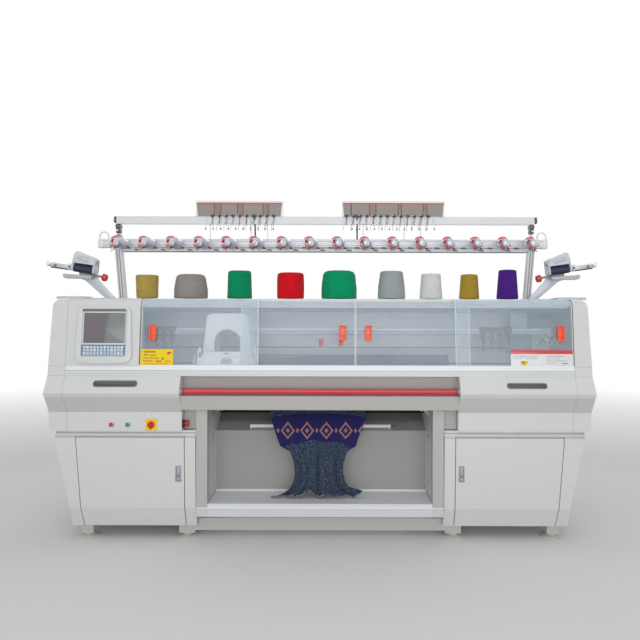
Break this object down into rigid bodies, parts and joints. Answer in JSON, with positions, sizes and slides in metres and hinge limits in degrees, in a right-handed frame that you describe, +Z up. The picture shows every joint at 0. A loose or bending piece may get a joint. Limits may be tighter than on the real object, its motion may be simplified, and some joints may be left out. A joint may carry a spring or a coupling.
{
  "type": "flat knitting machine",
  "caption": "Flat knitting machine with two needle beds, a carriage behind sliding windows, a console, a fabric bin, cabinets and a yarn stand with cones and side feeders.",
  "frame": {"origin": "on the floor under the middle of the machine's bounding box", "axes": "+Z up, +X to the right of a person who stands at the front, +Y towards the rear cover"},
  "size_m": [2.9598, 0.86, 1.726],
  "materials": {
    "covers": "satin",
    "cabinets": "satin",
    "stand_paint": "satin",
    "carriage_paint": "satin",
    "machine_steel": "machined",
    "bracket_paint": "satin",
    "needle_steel": "machined",
    "bezel_plastic": "satin",
    "screen_glass": "glossy",
    "keypad_membrane": "satin",
    "red_paint": "gloss",
    "red_plastic": "gloss",
    "green_plastic": "gloss",
    "bezel_metal": "satin",
    "orange_plastic": "gloss",
    "window_sheet": "clear",
    "lamp_tube": "satin",
    "dark_steel": "satin",
    "belt_rubber": "matte",
    "motor_paint": "satin",
    "unit_plastic": "gloss",
    "roller_plastic": "gloss",
    "knitted": "knitted",
    "green_yarn": "wound yarn",
    "pale_yarn": "wound yarn",
    "bright_yarn": "wound yarn"
  },
  "bodies": {
    "machine": {"left_end_cover": "covers", "right_end_cover": "covers", "left_belly_cover": "covers", "right_belly_cover": "covers", "console_housing": "covers", "window_sill": "covers", "front_apron": "covers", "yarn_table": "covers", "rear_cover": "covers", "left_cabinet": "cabinets", "right_cabinet": "cabinets", "fabric_bin": "cabinets", "base_frame": "cabinets", "levelling_feet": "cabinets", "yarn_stand_frame": "stand_paint", "feeder_beam": "stand_paint", "guide_plates": "stand_paint", "side_feeders": "stand_paint", "bed_frame": "machine_steel", "guide_rails": "machine_steel", "rail_brackets": "bracket_paint", "needle_beds": "needle_steel", "console_bezel": "bezel_plastic", "console_screen": "screen_glass", "console_keypad": "keypad_membrane", "switch_bezels": "bezel_metal", "bin_lamp": "lamp_tube", "drive_belt": "belt_rubber", "drive_motor": "motor_paint", "tension_units": "unit_plastic", "knitted_fabric": "knitted", "green_cones": "green_yarn", "pale_cones": "pale_yarn", "bright_cones": "bright_yarn"},
    "left_door": {"left_door": "cabinets", "left_door_lock": "machine_steel"},
    "right_door": {"right_door": "cabinets", "right_door_lock": "machine_steel"},
    "start_bar": {"start_bar": "red_paint"},
    "start_button": {"start_button": "green_plastic"},
    "stop_button": {"stop_button": "red_plastic"},
    "emergency_stop": {"emergency_stop": "red_plastic"},
    "main_switch": {"main_switch_knob": "red_plastic"},
    "window_1": {"window_1": "window_sheet", "handle_1": "orange_plastic"},
    "window_2": {"window_2": "window_sheet", "handle_2": "orange_plastic"},
    "window_3": {"window_3": "window_sheet", "handle_3": "orange_plastic"},
    "window_4": {"window_4": "window_sheet", "handle_4": "orange_plastic"},
    "carriage": {"carriage_bridge": "carriage_paint", "carriage_base": "carriage_paint"},
    "left_yarn_carriers": {"left_yarn_carriers": "dark_steel"},
    "right_yarn_carriers": {"right_yarn_carriers": "dark_steel"},
    "drive_pulley": {"drive_pulley": "machine_steel"},
    "idler_pulley": {"idler_pulley": "machine_steel"},
    "takedown_roller": {"takedown_roller": "belt_rubber"},
    "left_feed_roller": {"left_feed_roller": "roller_plastic"},
    "right_feed_roller": {"right_feed_roller": "roller_plastic"}
  },
  "joints": [
    {"name": "left_door_hinge", "type": "hinge", "parent": "machine", "child": "left_door", "pos_m": [-1.198, -0.368, 0.29], "axis": [0, 0, -1], "range_deg": [0, 110]},
    {"name": "right_door_hinge", "type": "hinge", "parent": "machine", "child": "right_door", "pos_m": [1.198, -0.368, 0.29], "axis": [0, 0, 1], "range_deg": [0, 110]},
    {"name": "start_bar_turn", "type": "hinge", "parent": "machine", "child": "start_bar", "pos_m": [0, -0.398, 0.749], "axis": [1, 0, 0], "range_deg": [-20, 20], "stiffness_Nm_per_rad": 0.6},
    {"name": "start_button_push", "type": "slide", "parent": "machine", "child": "start_button", "axis": [0, 1, 0], "range_m": [0, 0.004], "stiffness_N_per_m": 200, "springref_m": -0.001},
    {"name": "stop_button_push", "type": "slide", "parent": "machine", "child": "stop_button", "axis": [0, 1, 0], "range_m": [0, 0.004], "stiffness_N_per_m": 200, "springref_m": -0.001},
    {"name": "emergency_stop_push", "type": "slide", "parent": "machine", "child": "emergency_stop", "axis": [-1, 0, 0], "range_m": [0, 0.006]},
    {"name": "main_switch_turn", "type": "hinge", "parent": "machine", "child": "main_switch", "pos_m": [-0.826, -0.37, 0.582], "axis": [0, 1, 0], "range_deg": [0, 90]},
    {"name": "window_1_slide", "type": "slide", "parent": "machine", "child": "window_1", "axis": [1, 0, 0], "range_m": [0, 0.38]},
    {"name": "window_2_slide", "type": "slide", "parent": "machine", "child": "window_2", "axis": [1, 0, 0], "range_m": [-0.38, 0]},
    {"name": "window_3_slide", "type": "slide", "parent": "machine", "child": "window_3", "axis": [1, 0, 0], "range_m": [0, 0.38]},
    {"name": "window_4_slide", "type": "slide", "parent": "machine", "child": "window_4", "axis": [1, 0, 0], "range_m": [-0.38, 0]},
    {"name": "carriage_travel", "type": "slide", "parent": "machine", "child": "carriage", "axis": [1, 0, 0], "range_m": [-0.25, 1.17]},
    {"name": "left_carriers_travel", "type": "slide", "parent": "machine", "child": "left_yarn_carriers", "axis": [1, 0, 0], "range_m": [0, 0.6]},
    {"name": "right_carriers_travel", "type": "slide", "parent": "machine", "child": "right_yarn_carriers", "axis": [1, 0, 0], "range_m": [-0.6, 0]},
    {"name": "drive_pulley_turn", "type": "hinge", "parent": "machine", "child": "drive_pulley", "pos_m": [-1.06, -0.0715, 0.9], "axis": [0, 1, 0], "range_deg": [-1600, 360]},
    {"name": "idler_pulley_turn", "type": "hinge", "parent": "machine", "child": "idler_pulley", "pos_m": [1.165, -0.0715, 0.9], "axis": [0, 1, 0], "range_deg": [-1600, 360]},
    {"name": "takedown_turn", "type": "hinge", "parent": "machine", "child": "takedown_roller", "pos_m": [0, -0.1767, 0.666], "axis": [1, 0, 0], "continuous": true},
    {"name": "left_feed_turn", "type": "hinge", "parent": "machine", "child": "left_feed_roller", "pos_m": [-1.272, -0.09, 1.361], "axis": [-0.9903, 0, 0.1392], "continuous": true},
    {"name": "right_feed_turn", "type": "hinge", "parent": "machine", "child": "right_feed_roller", "pos_m": [1.272, -0.09, 1.361], "axis": [0.9903, 0, 0.1392], "continuous": true}
  ],
  "couplings": [
    {"joint": "drive_pulley_turn", "follows": "carriage_travel", "rad_per_m": -23.641},
    {"joint": "idler_pulley_turn", "follows": "carriage_travel", "rad_per_m": -23.641}
  ]
}
